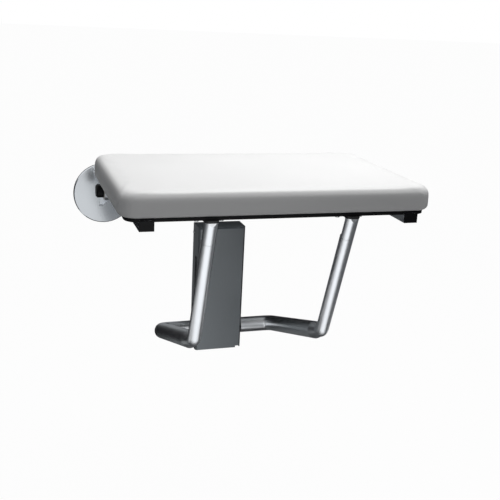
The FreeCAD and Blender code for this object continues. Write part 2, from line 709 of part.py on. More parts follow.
def make_lower_tubes():
    """Bent tubes from the axle out along the wall and forward to the elbows."""
    for name, sign in each_side():
        body = new_body("LowerTube")
        path = new_sketch(body, "XY_Plane")
        bend, reach = "lower_tube_bend", "(arm_end)"
        way = -1 if sign == "-" else 1
        start, corner, end = f"({way}) * tube_start", f"({way}) * (frame_x - {bend})", f"({way}) * frame_x"
        points = [Vec(val(x), val(y), 0) for x, y in
                  ((start, "0"), (corner, "0"), (end, f"-{bend}"), (end, f"-{reach}"))]
        first = path.addGeometry(Part.LineSegment(points[0], points[1]), False)
        centre = Vec(val(corner), -val(bend), 0)
        limits = (0, math.pi / 2) if way > 0 else (math.pi / 2, math.pi)
        arc = path.addGeometry(Part.ArcOfCircle(Part.Circle(centre, Vec(0, 0, 1), val(bend)), *limits), False)
        second = path.addGeometry(Part.LineSegment(points[2], points[3]), False)
        near, far = (2, 1) if way > 0 else (1, 2)
        path.addConstraint(Sketcher.Constraint("Tangent", first, 2, arc, near))
        path.addConstraint(Sketcher.Constraint("Tangent", arc, far, second, 1))
        pin_point(path, first, 1, start, "0")
        pin_point(path, arc, 3, corner, f"-{bend}")
        pin_point(path, second, 2, end, f"-{reach}")
        ring = new_sketch(body, "YZ_Plane", start)
        circle(ring, "0", "0", "lower_tube_radius")
        circle(ring, "0", "0", "lower_tube_radius - lower_tube_wall")
        pipe = body.newObject("PartDesign::AdditivePipe", "Pipe")
        pipe.Profile = ring
        pipe.Spine = (path, [f"Edge{i}" for i in (1, 2, 3)])
        doc.recompute()
        place(body, "0", "-axle_reach", "-axle_drop", turn="-arm_tilt")
        keep(body, f"{name}_lower_tube")


def make_elbows():
    """Solid elbows that neck each arm down to the leg's size and turn it up into its leg."""
    for name, sign in each_side():
        neck = primitive("Cone", Radius1="lower_tube_radius", Radius2="leg_radius", Height="neck_length")
        place(neck, "0", "neck_length", "0", turn="90 deg")
        bend = primitive("Torus", Radius1="elbow_bend", Radius2="leg_radius", Angle3="elbow_turn")
        upright = FreeCAD.Rotation(Vec(0, 0, -1), Vec(0, -1, 0), Vec(-1, 0, 0))
        place(bend, "0", "0", "elbow_bend", rotation=upright)
        elbow = fuse(neck, bend)
        back = "elbow_tangent"
        place(elbow, f"{sign}frame_x", f"-elbow_reach + {back} * cos(arm_tilt)",
              f"elbow_height - {back} * sin(arm_tilt)", turn="-arm_tilt")
        keep(elbow, f"{name}_elbow")


def make_legs():
    """Leg tubes with a slimmer forked top, round over the pin, that straddles the tongue."""
    radius, wide = "fork_radius", "leg_radius + 1"
    for name, sign in each_side():
        tube = primitive("Cylinder", Radius="leg_radius", Height="leg_down - fork_shoulder")
        place(tube, "0", "0", "-leg_down")
        stem = primitive("Cylinder", Radius=radius, Height="fork_shoulder + leg_radius")
        place(stem, "0", "0", "-fork_shoulder - leg_radius")
        crown = primitive("Sphere", Radius=radius)
        bore = primitive("Cylinder", Radius="leg_radius - leg_wall", Height="leg_down - leg_solid_end + 1")
        place(bore, "0", "0", "-leg_down - 1")
        slot = block("-fork_slot / 2", "fork_slot / 2", f"-({wide})", wide, "-fork_depth", wide)
        hole = rod("pin_radius + press_clearance", f"-({wide})", wide)
        leg = cut(fuse(tube, stem, crown), bore, slot, hole)
        place(leg, f"{sign}frame_x", "-pin_reach", "pin_height", turn="90 deg - leg_angle")
        keep(leg, f"{name}_leg")


def make_leg_pins():
    """Pins pressed through the legs' forks, flush with their round tops."""
    half, bevel = "pin_half_length", "pin_bevel"
    for name, sign in each_side():
        body = turned("LegPin", [(f"-{half}", "0"), (half, "0"), (half, f"pin_radius - {bevel}"),
                                 (f"{half} - {bevel}", "pin_radius"), (f"-{half} + {bevel}", "pin_radius"),
                                 (f"-{half}", f"pin_radius - {bevel}")])
        place(body, f"{sign}frame_x", "-pin_reach", "pin_height")
        keep(body, f"{name}_leg_pin")


def leg_sleeve():
    """Half sleeve that carries the leg's round front on up to the board, solid above the pin."""
    radius, hollow = "leg_radius", "fork_radius + sleeve_clearance"
    low = "sleeve_gap - fork_shoulder"
    outer = primitive("Cylinder", Radius=radius, Height="fork_shoulder + 2 * pin_drop")
    place(outer, "0", "0", low)
    front = block(f"-{radius} - 1", f"{radius} + 1", f"-{radius} - 1", "0", low, "2 * pin_drop")
    inner = primitive("Cylinder", Radius=hollow, Height="fork_shoulder + 1")
    place(inner, "0", "0", "-fork_shoulder - 1")
    ball = primitive("Sphere", Radius=hollow)
    shell = cut(common(outer, front), inner, ball)
    place(shell, turn="90 deg - leg_angle")
    room = block(f"-{radius} - 1", f"{radius} + 1", "sleeve_setback - pin_setback", f"2 * {radius}",
                 f"-3 * {radius}", "bracket_top")
    return common(shell, room)


def bracket_core():
    """Base plate, forward strip and open backed tongue around the pin."""
    low, top, reach = "bracket_low", "bracket_top", "tongue_radius"
    grip = "(pin_radius + running_clearance)"
    body = new_body("LegBracket")
    base = new_sketch(body, "XY_Plane", low)
    rectangle(base, "-bracket_width / 2", "0", "bracket_width / 2", "bracket_depth")
    pad(body, base, "bracket_base")
    strip = new_sketch(body, "XY_Plane", low)
    rectangle(strip, "-leg_radius", "board_inset - pin_setback", "leg_radius", "1")
    pad(body, strip, "bracket_base")
    tongue = new_sketch(body, "YZ_Plane")
    rectangle(tongue, f"-{reach}", "0", reach, top)
    pad(body, tongue, "tongue_thickness", midplane=True)
    eye = new_sketch(body, "YZ_Plane")
    circle(eye, "0", "0", reach)
    pad(body, eye, "tongue_thickness", midplane=True)
    bore = new_sketch(body, "YZ_Plane")
    circle(bore, "0", "0", grip)
    pocket(body, bore, midplane=True)
    mouth = new_sketch(body, "YZ_Plane")
    out = f"({reach} + 2)"
    polygon(mouth, [(f"-{grip} * sin(mouth_up)", f"{grip} * cos(mouth_up)"),
                    (out, f"{grip} / cos(mouth_up) + {out} * tan(mouth_up)"),
                    (out, f"-{grip} / cos(mouth_down) - {out} * tan(mouth_down)"),
                    (f"-{grip} * sin(mouth_down)", f"-{grip} * cos(mouth_down)")])
    pocket(body, mouth, midplane=True)
    holes = new_sketch(body, "XY_Plane", low)
    for x in ("-bracket_screw_x / 2", "bracket_screw_x / 2"):
        for y in BRACKET_ROWS:
            circle(holes, x, y, "screw_slip")
    pocket(body, holes, reverse=True)
    return body


def make_leg_brackets():
    """Brackets under the board that take the leg pins."""
    for name, sign in each_side():
        bracket = fuse(bracket_core(), leg_sleeve())
        place(bracket, f"{sign}frame_x", "-pin_reach", "pin_height")
        keep(bracket, f"{name}_leg_bracket")


def upright_screw(length):
    """A pan head screw along X with its head at the low end."""
    head = "screw_head_radius"
    bevel = "screw_head / 3"
    return turned("Screw", [("-screw_head", "0"), (length, "0"), (length, "screw_radius"),
                            ("0", "screw_radius"), ("0", head), (f"-screw_head + {bevel}", head),
                            ("-screw_head", f"{head} - {bevel}")])


def make_seat_screws():
    """Screws that hold the leg brackets and the rails to the board, heads down."""
    upright = FreeCAD.Rotation(Vec(0, 1, 0), -90)
    jobs = (("leg_bracket_screws", "bracket_base + screw_bite", bracket_screw_spots(),
             "board_bottom - bracket_base - running_clearance"),
            ("board_screws", "board_screw_length", board_screw_spots(),
             "rail_bottom - running_clearance"))
    for label, length, spots, height in jobs:
        master = upright_screw(length)
        places = [FreeCAD.Placement(Vec(val(x), val(y), val(height)), upright) for x, y in spots]
        group(label, master, places)


def check_and_write():
    """Stop on any failed object or bad shape, then write one file for each sub-part."""
    doc.recompute()
    for item in doc.Objects:
        if "Invalid" in item.State or "Error" in item.State:
            raise RuntimeError(f"{item.Name} ({item.Label}) failed: {item.State}")
    labels = [item.Label for item in parts]
    if len(set(labels)) != len(labels):
        raise RuntimeError("two sub-parts share a name")
    for item in parts:
        if item.Shape.isNull() or not item.Shape.isValid() or item.Shape.Volume <= 0:
            raise RuntimeError(f"{item.Label} has no valid shape")
    os.makedirs("parts", exist_ok=True)
    for item in parts:
        item.Shape.exportStep(f"parts/{item.Label}.step")
        print(f"{item.Label:22s} solids {len(item.Shape.Solids)} volume {item.Shape.Volume:10.1f}")


fill_sheet()
make_cushion()
make_board()
make_rails()
make_rail_plugs()
make_hinge_tube()
make_hinge_plugs()
make_hinge_bushes()
make_hinge_ears()
make_wall_plates()
make_flange_covers()
make_guide_plate()
make_guide_cover()
make_guide_screws()
make_slider()
make_stops()
make_axle()
make_lower_tubes()
make_elbows()
make_legs()
make_leg_pins()
make_leg_brackets()
make_seat_screws()
check_and_write()
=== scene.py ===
import math

import bpy
import numpy as np
from mathutils import Matrix, Vector


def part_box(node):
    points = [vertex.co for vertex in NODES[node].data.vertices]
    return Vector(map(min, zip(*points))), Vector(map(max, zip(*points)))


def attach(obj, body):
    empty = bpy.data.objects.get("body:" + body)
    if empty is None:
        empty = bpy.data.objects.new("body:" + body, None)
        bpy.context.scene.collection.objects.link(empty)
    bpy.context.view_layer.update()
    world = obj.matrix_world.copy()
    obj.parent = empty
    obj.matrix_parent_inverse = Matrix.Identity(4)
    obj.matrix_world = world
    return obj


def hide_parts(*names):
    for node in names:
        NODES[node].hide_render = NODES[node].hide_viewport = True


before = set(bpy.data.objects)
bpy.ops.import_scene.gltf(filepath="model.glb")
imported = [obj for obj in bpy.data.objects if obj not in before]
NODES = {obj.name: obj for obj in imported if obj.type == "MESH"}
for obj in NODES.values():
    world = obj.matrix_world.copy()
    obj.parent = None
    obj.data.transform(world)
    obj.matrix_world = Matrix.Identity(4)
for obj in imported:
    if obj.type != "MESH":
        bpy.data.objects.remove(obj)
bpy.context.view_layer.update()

bl_info = {
    "name": "Fold down wall seat",
    "version": (1, 0, 0),
    "blender": (4, 5, 0),
    "location": "3D View > Sidebar > Wall seat",
    "description": "Dresses the fold down wall seat's frame: cushion, finishes and studio",
    "category": "Object",
}

MM = 0.001

# Mesh of the cushion.
OUTLINE_POINTS = 300
CORNER_POINTS = 10
QUARTER_POINTS = 12
FACE_RINGS = 30
SIDE_RINGS = 6
RING_STEP = 1 * MM
SIDE_BAND = 0.2

# The cushion's swelling.
SHELL_SHRINK = 0.55
HELD_HEIGHT = 2 * MM
PRESSURE = 4.0
STRETCH_STIFFNESS = 40.0
BEND_STIFFNESS = 5.0
SWELL_FRAMES = 20
SMALLEST_MOVE = 1e-9

# Roughness of each metal finish, and how far wipe marks change it.
TUBE_ROUGH, TUBE_SPREAD = 0.32, 0.05
FLANGE_ROUGH, FLANGE_SPREAD = 0.20, 0.05
RAIL_ROUGH, RAIL_SPREAD = 0.26, 0.06
GUIDE_ROUGH = 0.34

# The photograph's camera: turns in radians, place in metres.
CAMERA_YAW, CAMERA_PITCH, CAMERA_ROLL = 0.31487, 0.29115, -0.05116
CAMERA_PLACE = (-0.48071, -1.72849, 0.61897)
FOCAL_PIXELS, FRAME_PIXELS, SENSOR = 819.23, 500.0, 36.0

# Floor far enough across to fill every view, and how white it looks.
FLOOR_HALF = 30.0
FLOOR_WHITE = 0.975

# Overhead lamp: place, the point it faces, and its two sides.
LAMP_PLACE, LAMP_AIM, LAMP_SIZE = (0.30, 0.0, 1.5), (0.05, -0.25, 0.3), (1.1, 0.9)

# Colour of each kind of card.
CARD_COLOURS = {
    "dark": (0.004, 0.004, 0.005, 1),
    "grey": (0.10, 0.105, 0.11, 1),
    "dim": (0.27, 0.28, 0.29, 1),
    # shade: painted shadow of the seat on the floor, seen in reflections
    "shade": (0.03, 0.031, 0.033, 1),
    # pale: glows brighter than white, a painted pool of light on the floor, seen in reflections
    "pale": (1.26, 1.28, 1.31, 1),
}

# Each card: name, centre, half side across, half side up, colour.
CARDS = (
    ("card_left", (-0.85, 0.1, 0.0), (0, 0.9, 0), (0, 0, 0.46), "grey"),
    ("card_right", (0.80, 0.1, 0.0), (0, 0.9, 0), (0, 0, 0.46), "grey"),
    ("card_back", (0.0, 0.13, 0.07), (0.85, 0, 0), (0, 0, 0.33), "dark"),
    ("card_back_low", (0.0, 0.14, -0.34), (0.85, 0, 0), (0, 0, 0.12), "grey"),
    # Painted shadow: a dark sheet on the floor where the seat's shadow falls, seen in reflections
    ("card_under_painted_shadow", (0.0, -0.15, -0.46), (0.60, 0, 0), (0, 0.28, 0), "shade"),
    ("card_floor_right", (0.75, -0.62, -0.46), (0.42, 0, 0), (0, 0.45, 0), "grey"),
    ("card_front_right", (0.72, -0.75, 0.05), (0.55, 0, 0), (0, 0, 0.50), "grey"),
    # Painted pool of light: a glowing sheet on the floor in front of the seat, seen in reflections
    ("card_front", (-0.22, -0.88, -0.46), (0.48, 0, 0), (0, 0.36, 0), "pale"),
    ("card_inset", (-0.10, 0.12, 0.0), (0.05, 0, 0), (0, 0, 0.17), "dim"),
    ("card_gap", (0.04, 0.03, 0.235), (0.28, 0, 0), (0, 0.10, 0), "dim"),
    # Painted shade: a dim sheet under the seat, so the flange shows a darker reflected band
    ("card_flange_painted_shade", (-0.200, -0.12, 0.182), (0.056, 0, 0), (-0.022, 0, 0.066), "dim"),
)

# Which finish each CAD node gets.
FINISHES = {
    "board": ["seat_board"],
    "moulded": ["left_front_rail_plug", "left_rear_rail_plug", "right_front_rail_plug",
                "right_rear_rail_plug", "left_hinge_plug", "right_hinge_plug"],
    "tube": ["left_lower_tube", "right_lower_tube", "left_elbow", "right_elbow", "left_leg",
             "right_leg", "left_leg_pin", "right_leg_pin", "hinge_tube"],
    "bracket": ["left_leg_bracket", "right_leg_bracket"],
    "flange": ["left_flange_cover", "right_flange_cover"],
    "rail": ["left_seat_rail", "right_seat_rail", "left_hinge_ear", "right_hinge_ear"],
    "guide": ["guide_cover"],
    "zinc": ["left_wall_plate", "right_wall_plate", "guide_back_plate", "guide_axle",
             "left_axle_collar", "right_axle_collar", "guide_cover_screws",
             "leg_bracket_screws", "board_screws", "drag_spring"],
    "nylon": ["slide_block", "left_hinge_bush", "right_hinge_bush"],
    "rubber": ["lower_stop", "upper_stop"],
}


class CushionSizes(bpy.types.PropertyGroup):
    fullness: bpy.props.FloatProperty(
        name="Fullness", description="How far the foam may swell",
        default=1.6 * MM, min=0.0, subtype="DISTANCE", unit="LENGTH")
    cell: bpy.props.FloatProperty(
        name="Mesh cell", description="Cell size of the cushion's mesh",
        default=4.7 * MM, min=3 * MM, subtype="DISTANCE", unit="LENGTH")
    side_ease: bpy.props.FloatProperty(
        name="Side ease", description="Room left at each side of the seat",
        default=2.0 * MM, min=0.0, subtype="DISTANCE", unit="LENGTH")
    side_pull: bpy.props.FloatProperty(
        name="Side pull", description="How far the sides draw in between corners",
        default=0.8 * MM, min=0.0, subtype="DISTANCE", unit="LENGTH")
    corner: bpy.props.FloatProperty(
        name="Corner", description="Corner radius seen from above",
        default=30 * MM, min=20 * MM, subtype="DISTANCE", unit="LENGTH")
    crown: bpy.props.FloatProperty(
        name="Crown", description="Height of the rounding at the top edge",
        default=18 * MM, min=1 * MM, subtype="DISTANCE", unit="LENGTH")
    brow: bpy.props.FloatProperty(
        name="Brow", description="How far the top edge's rounding reaches inwards",
        default=14 * MM, min=1 * MM, subtype="DISTANCE", unit="LENGTH")
    foot: bpy.props.FloatProperty(
        name="Foot", description="Radius of the rounding at the bottom edge",
        default=6 * MM, min=1 * MM, subtype="DISTANCE", unit="LENGTH")
    colour: bpy.props.FloatVectorProperty(
        name="Vinyl", description="Colour of the upholstery vinyl",
        default=(0.86, 0.86, 0.855), subtype="COLOR", min=0, max=1)


class MetalSizes(bpy.types.PropertyGroup):
    tube: bpy.props.FloatVectorProperty(
        name="Polished tube", description="Colour of the polished steel",
        default=(0.80, 0.82, 0.84), subtype="COLOR", min=0, max=1)
    base_plate: bpy.props.FloatProperty(
        name="Base plate", description="Thickness of the leg brackets' base",
        default=4.2 * MM, min=0.0, subtype="DISTANCE", unit="LENGTH")
    guide: bpy.props.FloatVectorProperty(
        name="Guide cover", description="Colour of the satin guide cover",
        default=(0.195, 0.21, 0.22), subtype="COLOR", min=0, max=1)
    flange: bpy.props.FloatVectorProperty(
        name="Flange cover", description="Colour of the wall flanges",
        default=(0.60, 0.63, 0.66), subtype="COLOR", min=0, max=1)


class StageSizes(bpy.types.PropertyGroup):
    floor_drop: bpy.props.FloatProperty(
        name="Floor", description="Height of the studio floor",
        default=-0.47, subtype="DISTANCE", unit="LENGTH")
    key: bpy.props.FloatProperty(
        name="Overhead light", description="Power of the overhead soft light",
        default=16.5, min=0.0, subtype="POWER", unit="POWER")
    fill: bpy.props.FloatProperty(
        name="Fill", description="Strength of the even light all round",
        default=0.24, min=0.0)


class Value:
    """A shader socket usable in ordinary sums; each sum adds one Math node."""

    def __init__(self, graph, socket):
        self.graph, self.socket = graph, socket

    def _sum(self, operation, first, second):
        return self.graph.node("ShaderNodeMath", {"operation": operation}, {0: first, 1: second})

    def __add__(self, other):
        return self._sum("ADD", self, other)

    def __radd__(self, other):
        return self._sum("ADD", other, self)

    def __rsub__(self, other):
        return self._sum("SUBTRACT", other, self)

    def __mul__(self, other):
        return self._sum("MULTIPLY", self, other)

    def __rmul__(self, other):
        return self._sum("MULTIPLY", other, self)


class Graph:
    """The node tree of one material or world."""

    def __init__(self, owner):
        owner.use_nodes = True
        self.tree = owner.node_tree
        self.tree.nodes.clear()

    def node(self, kind, settings=None, inputs=None, output=0):
        """Add a node: settings first, then values or links for its sockets."""
        made = self.tree.nodes.new(kind)
        for name, value in (settings or {}).items():
            if name == "stops":
                self._stops(made.color_ramp, value)
            else:
                setattr(made, name, value)
        for name, value in (inputs or {}).items():
            if isinstance(value, Value):
                self.tree.links.new(value.socket, made.inputs[name])
            else:
                made.inputs[name].default_value = value
        return Value(self, made.outputs[output]) if made.outputs else made

    def _stops(self, ramp, stops):
        while len(ramp.elements) < len(stops):
            ramp.elements.new(0.5)
        for element, (place, shade) in zip(ramp.elements, stops):
            element.position = place
            element.color = (shade, shade, shade, 1)

    def place(self, stretch=(1, 1, 1)):
        """Object coordinates, stretched along the axes."""
        spot = self.node("ShaderNodeTexCoord", output=3)
        if tuple(stretch) == (1, 1, 1):
            return spot
        return self.node("ShaderNodeMapping", None, {"Vector": spot, "Scale": stretch})

    def noise(self, scale, detail=3.0, stretch=(1, 1, 1), rough=0.5):
        return self.node("ShaderNodeTexNoise", None,
                         {"Vector": self.place(stretch), "Scale": scale, "Detail": detail,
                          "Roughness": rough})

    def mix(self, amount, first, second):
        """Blend two colours."""
        return self.node("ShaderNodeMix", {"data_type": "RGBA"}, {0: amount, 6: first, 7: second}, 2)

    def bump(self, height, depth, strength=1.0):
        return self.node("ShaderNodeBump", None,
                         {"Strength": strength, "Distance": depth, "Height": height})


def rgba(colour, gain=1.0):
    return tuple(min(1.0, c * gain) for c in colour[:3]) + (1.0,)


def finish_material(graph, **sockets):
    surface = graph.node("ShaderNodeBsdfPrincipled", None, sockets)
    graph.node("ShaderNodeOutputMaterial", None, {"Surface": surface})


def new_graph(name):
    material = bpy.data.materials.new(name)
    return material, Graph(material)


def make_vinyl(colour):
    """Grained upholstery vinyl: pebble cells with fine pores, slight sheen change."""
    material, g = new_graph("white_vinyl")
    pebble = g.node("ShaderNodeTexVoronoi", {"feature": "DISTANCE_TO_EDGE"},
                    {"Vector": g.place(), "Scale": 620.0, "Randomness": 1.0})
    pores = g.noise(1500.0, 2.0)
    broad = g.noise(7.0, 2.0)
    raised = g.node("ShaderNodeMapRange", None, {0: pebble, 1: 0.0, 2: 0.12, 3: 0.0, 4: 1.0})
    height = raised * 0.7 + pores * 0.3
    colours = g.mix(broad, rgba(colour, 0.985), rgba(colour, 1.01))
    finish_material(g, **{"Base Color": colours, "Roughness": 0.36 + 0.12 * broad + 0.06 * pores,
                          "Normal": g.bump(height, 0.00012, 0.35)})
    return material


def make_board():
    """Black faced board: fine random texture, dull edges."""
    material, g = new_graph("black_board")
    fine = g.noise(900.0, 3.0)
    broad = g.noise(12.0, 2.0)
    colours = g.mix(broad, (0.006, 0.006, 0.007, 1), (0.011, 0.011, 0.012, 1))
    finish_material(g, **{"Base Color": colours,
                          "Specular IOR Level": 0.12, "Roughness": 0.5 + 0.2 * fine,
                          "Normal": g.bump(fine, 0.0001, 0.4)})
    return material


def make_moulded():
    """Moulded black plastic with a spark eroded skin."""
    material, g = new_graph("moulded_black")
    skin = g.noise(1400.0, 4.0)
    broad = g.noise(40.0, 2.0)
    colours = g.mix(broad, (0.005, 0.005, 0.006, 1), (0.009, 0.009, 0.010, 1))
    finish_material(g, **{"Base Color": colours,
                          "Specular IOR Level": 0.15, "Roughness": 0.42 + 0.15 * skin,
                          "Normal": g.bump(skin, 0.00008, 0.5)})
    return material


def wiped_steel(g, colour):
    """Wipe marks over steel, and the colour that they shift."""
    wipes = g.noise(26.0, 4.0, rough=0.6)
    return wipes, g.mix(wipes, rgba(colour, 0.95), rgba(colour, 1.04))


def make_polished(name, colour, rough, spread):
    """Polished stainless steel: faint wipe marks change the gloss, fine scratches bend it."""
    material, g = new_graph(name)
    wipes, colours = wiped_steel(g, colour)
    scratches = g.noise(240.0, 2.0, stretch=(1.0, 9.0, 3.0))
    finish_material(g, **{"Base Color": colours, "Metallic": 1.0,
                          "Roughness": rough + spread * wipes + 0.04 * scratches,
                          "Normal": g.bump(scratches, 0.00002, 0.25)})
    return material


def make_bracket(colour, base_height, rough):
    """Leg bracket: polished like the leg, its flat base plate under the board coated black."""
    material, g = new_graph("leg_bracket_steel")
    height = g.node("ShaderNodeSeparateXYZ", None, {"Vector": g.place()}, 2)
    coated = g.node("ShaderNodeMath", {"operation": "GREATER_THAN"}, {0: height, 1: base_height})
    wipes, steel = wiped_steel(g, colour)
    grain = g.noise(900.0, 2.0)
    finish_material(g, **{"Base Color": g.mix(coated, steel, (0.012, 0.012, 0.013, 1)),
                          "Metallic": 1.0 - coated,
                          "Roughness": rough + TUBE_SPREAD * wipes + 0.2 * coated,
                          "Normal": g.bump(grain, 0.00003, 0.3)})
    return material


def make_satin(name, colour, rough):
    """Satin steel sheet brushed upright: long thin streaks in tone, gloss and height."""
    material, g = new_graph(name)
    streaks = g.noise(1100.0, 3.0, stretch=(1.0, 1.0, 0.02))
    cloud = g.noise(14.0, 3.0)
    grit = g.noise(900.0, 2.0)
    tone = streaks * 0.5 + cloud * 0.3 + grit * 0.2
    colours = g.mix(tone, rgba(colour, 0.84), rgba(colour, 1.16))
    finish_material(g, **{"Base Color": colours, "Metallic": 1.0,
                          "Roughness": rough + 0.14 * streaks + 0.05 * cloud,
                          "Normal": g.bump(streaks * 0.7 + grit * 0.3, 0.00004, 0.5)})
    return material


def make_zinc():
    """Bright zinc plated steel with the faint mottle of plating."""
    material, g = new_graph("zinc_plate")
    mottle = g.node("ShaderNodeTexVoronoi", None, {"Vector": g.place(), "Scale": 220.0})
    fine = g.noise(700.0, 3.0)
    finish_material(g, **{"Base Color": g.mix(mottle, (0.50, 0.51, 0.52, 1), (0.60, 0.61, 0.61, 1)),
                          "Metallic": 1.0, "Roughness": 0.28 + 0.16 * fine,
                          "Normal": g.bump(fine, 0.00004, 0.3)})
    return material


def make_nylon():
    """Natural nylon: milky with faint machining rings."""
    material, g = new_graph("natural_nylon")
    rings = g.noise(500.0, 2.0, stretch=(1.0, 0.15, 1.0))
    cloud = g.noise(30.0, 2.0)
    finish_material(g, **{"Base Color": g.mix(cloud, (0.74, 0.72, 0.66, 1), (0.80, 0.79, 0.74, 1)),
                          "Roughness": 0.34 + 0.14 * rings, "Normal": g.bump(rings, 0.00005, 0.4)})
    return material


def make_rubber():
    """Black rubber stop: dull with a dusty bloom."""
    material, g = new_graph("black_rubber")
    bloom = g.noise(60.0, 4.0)
    fine = g.noise(1000.0, 2.0)
    colours = g.mix(bloom, (0.012, 0.012, 0.012, 1), (0.035, 0.034, 0.033, 1))
    finish_material(g, **{"Base Color": colours,
                          "Roughness": 0.7 + 0.2 * fine, "Normal": g.bump(fine, 0.00008, 0.4)})
    return material


def mesh_from_grid(name, points):
    """A mesh from a (rings, around, 3) array; the first and last ring are closed by fans."""
    rings, around = points.shape[:2]
    verts = points.reshape(-1, 3)
    i = np.arange(rings - 1)[:, None] * around
    j = np.arange(around)
    k = (j + 1) % around
    faces = np.stack([i + j, i + k, i + around + k, i + around + j], axis=-1).reshape(-1, 4).tolist()
    low, high = len(verts), len(verts) + 1
    verts = np.vstack([verts, points[0].mean(axis=0), points[-1].mean(axis=0)])
    faces += np.stack([k, j, np.full(around, low)], axis=-1).tolist()
    top = (rings - 1) * around
    faces += np.stack([top + j, top + k, np.full(around, high)], axis=-1).tolist()
    mesh = bpy.data.meshes.new(name)
    mesh.from_pydata(verts.tolist(), [], faces)
    mesh.validate()
    made = bpy.data.objects.new(name, mesh)
    bpy.context.collection.objects.link(made)
    return made


def rounded_rectangle(half_x, half_y, radius, steps):
    """Points round a rounded rectangle, evenly many on each side, anticlockwise."""
    out = []
    for cx, cy, start in ((1, 1, 0), (-1, 1, 90), (-1, -1, 180), (1, -1, 270)):
        t = np.radians(start + np.linspace(0, 90, CORNER_POINTS))
        out.append(np.stack([cx * (half_x - radius) + radius * np.cos(t),
                             cy * (half_y - radius) + radius * np.sin(t)], axis=1))
    loop = np.vstack(out)
    closed = np.vstack([loop, loop[:1]])
    gaps = np.linalg.norm(np.diff(closed, axis=0), axis=1)
    along = np.concatenate([[0], np.cumsum(gaps)])
    want = np.linspace(0, along[-1], steps, endpoint=False)
    return np.stack([np.interp(want, along, closed[:, axis]) for axis in (0, 1)], axis=1)


def cushion_shell(low, high, sizes, shrink):
    """The cushion before it swells, as outline rings carried up a rounded side.

    The top edge is a quarter ellipse, crown high and brow wide, and the bottom edge a quarter
    circle of the foot's radius. Between corners each side is drawn in by the side pull times
    one minus the square of the point's share of the way from the side's middle to its end.
    """
    middle = (np.array(low) + np.array(high)) / 2
    half_x = (high[0] - low[0]) / 2 - shrink - sizes.side_ease
    half_y = (high[1] - low[1]) / 2 - shrink
    bottom, top = low[2], high[2] - shrink
    crown, brow, foot = sizes.crown, sizes.brow, sizes.foot
    outline = rounded_rectangle(half_x, half_y, sizes.corner, OUTLINE_POINTS)
    share_x = np.clip(1 - (outline[:, 0] / half_x) ** 2, 0, 1)
    share_y = np.clip(1 - (outline[:, 1] / half_y) ** 2, 0, 1)
    on_side, on_front = share_x < SIDE_BAND, share_y < SIDE_BAND
    pull = sizes.side_pull * np.column_stack([share_y * on_side, share_x * on_front])
    drawn = outline - np.sign(outline) * pull

    def ring(inset, z):
        scale = np.array([(half_x - inset) / half_x, (half_y - inset) / half_y])
        return np.column_stack([drawn * scale + middle[:2], np.full(len(drawn), z)])

    quarter = np.radians(np.linspace(0, 90, QUARTER_POINTS))
    innermost = half_y - RING_STEP
    rings = [ring(inset, bottom) for inset in np.linspace(innermost, foot + RING_STEP, FACE_RINGS)]
    rings += [ring(foot - foot * np.sin(t), bottom + foot - foot * np.cos(t)) for t in quarter]
    rings += [ring(0.0, z) for z in np.linspace(bottom + foot, top - crown, SIDE_RINGS)[1:-1]]
    rings += [ring(brow - brow * np.cos(t), top - crown + crown * np.sin(t)) for t in quarter]
    rings += [ring(inset, top) for inset in np.linspace(brow + RING_STEP, innermost, FACE_RINGS)]
    return mesh_from_grid("cushion_shell", np.array(rings))


def apply_modifiers(piece):
    """Bake the piece's modifiers into its mesh."""
    depsgraph = bpy.context.evaluated_depsgraph_get()
    done = bpy.data.meshes.new_from_object(piece.evaluated_get(depsgraph))
    piece.modifiers.clear()
    piece.data = done


def coordinates(mesh):
    flat = np.empty(len(mesh.vertices) * 3)
    mesh.vertices.foreach_get("co", flat)
    return flat.reshape(-1, 3)


def put_coordinates(mesh, points):
    mesh.vertices.foreach_set("co", points.ravel())
    mesh.update()


def swell(piece, cell, cap, held_below):
    """Blow the cushion up a little with cloth pressure; no point moves further than cap."""
    remesh = piece.modifiers.new("Cells", "REMESH")
    remesh.mode = "VOXEL"
    remesh.voxel_size = cell
    apply_modifiers(piece)
    start = coordinates(piece.data)
    pinned = piece.vertex_groups.new(name="held")
    pinned.add(np.nonzero(start[:, 2] < held_below)[0].tolist(), 1.0, "REPLACE")
    cloth = piece.modifiers.new("Fullness", "CLOTH")
    cloth.settings.use_pressure = True
    cloth.settings.uniform_pressure_force = PRESSURE
    cloth.settings.vertex_group_mass = "held"
    cloth.settings.effector_weights.gravity = 0.0
    cloth.settings.tension_stiffness = STRETCH_STIFFNESS
    cloth.settings.compression_stiffness = STRETCH_STIFFNESS
    cloth.settings.bending_stiffness = BEND_STIFFNESS
    scene = bpy.context.scene
    for step in range(1, SWELL_FRAMES + 1):
        scene.frame_set(step)
    apply_modifiers(piece)
    scene.frame_set(1)
    moved = coordinates(piece.data) - start
    size = np.linalg.norm(moved, axis=1)
    gain = np.minimum(1.0, cap / np.maximum(size, SMALLEST_MOVE))
    put_coordinates(piece.data, start + moved * gain[:, None])
    piece.vertex_groups.clear()


def smooth_shade(piece):
    piece.data.polygons.foreach_set("use_smooth", np.ones(len(piece.data.polygons), dtype=bool))


class SEAT_OT_cushion(bpy.types.Operator):
    """Padded vinyl cushion on the seat board"""
    bl_idname = "wallseat.cushion"
    bl_label = "Seat cushion"

    def execute(self, context):
        sizes = context.scene.seat_cushion_sizes
        low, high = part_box("seat_cushion")
        piece = cushion_shell(low, high, sizes, sizes.fullness * SHELL_SHRINK)
        piece.name = "vinyl_cushion"
        swell(piece, sizes.cell, sizes.fullness, low[2] + HELD_HEIGHT)
        finer = piece.modifiers.new("Finer", "SUBSURF")
        finer.levels = finer.render_levels = 1
        apply_modifiers(piece)
        smooth_shade(piece)
        piece.data.materials.append(make_vinyl(sizes.colour))
        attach(piece, "seat")
        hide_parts("seat_cushion")
        return {"FINISHED"}


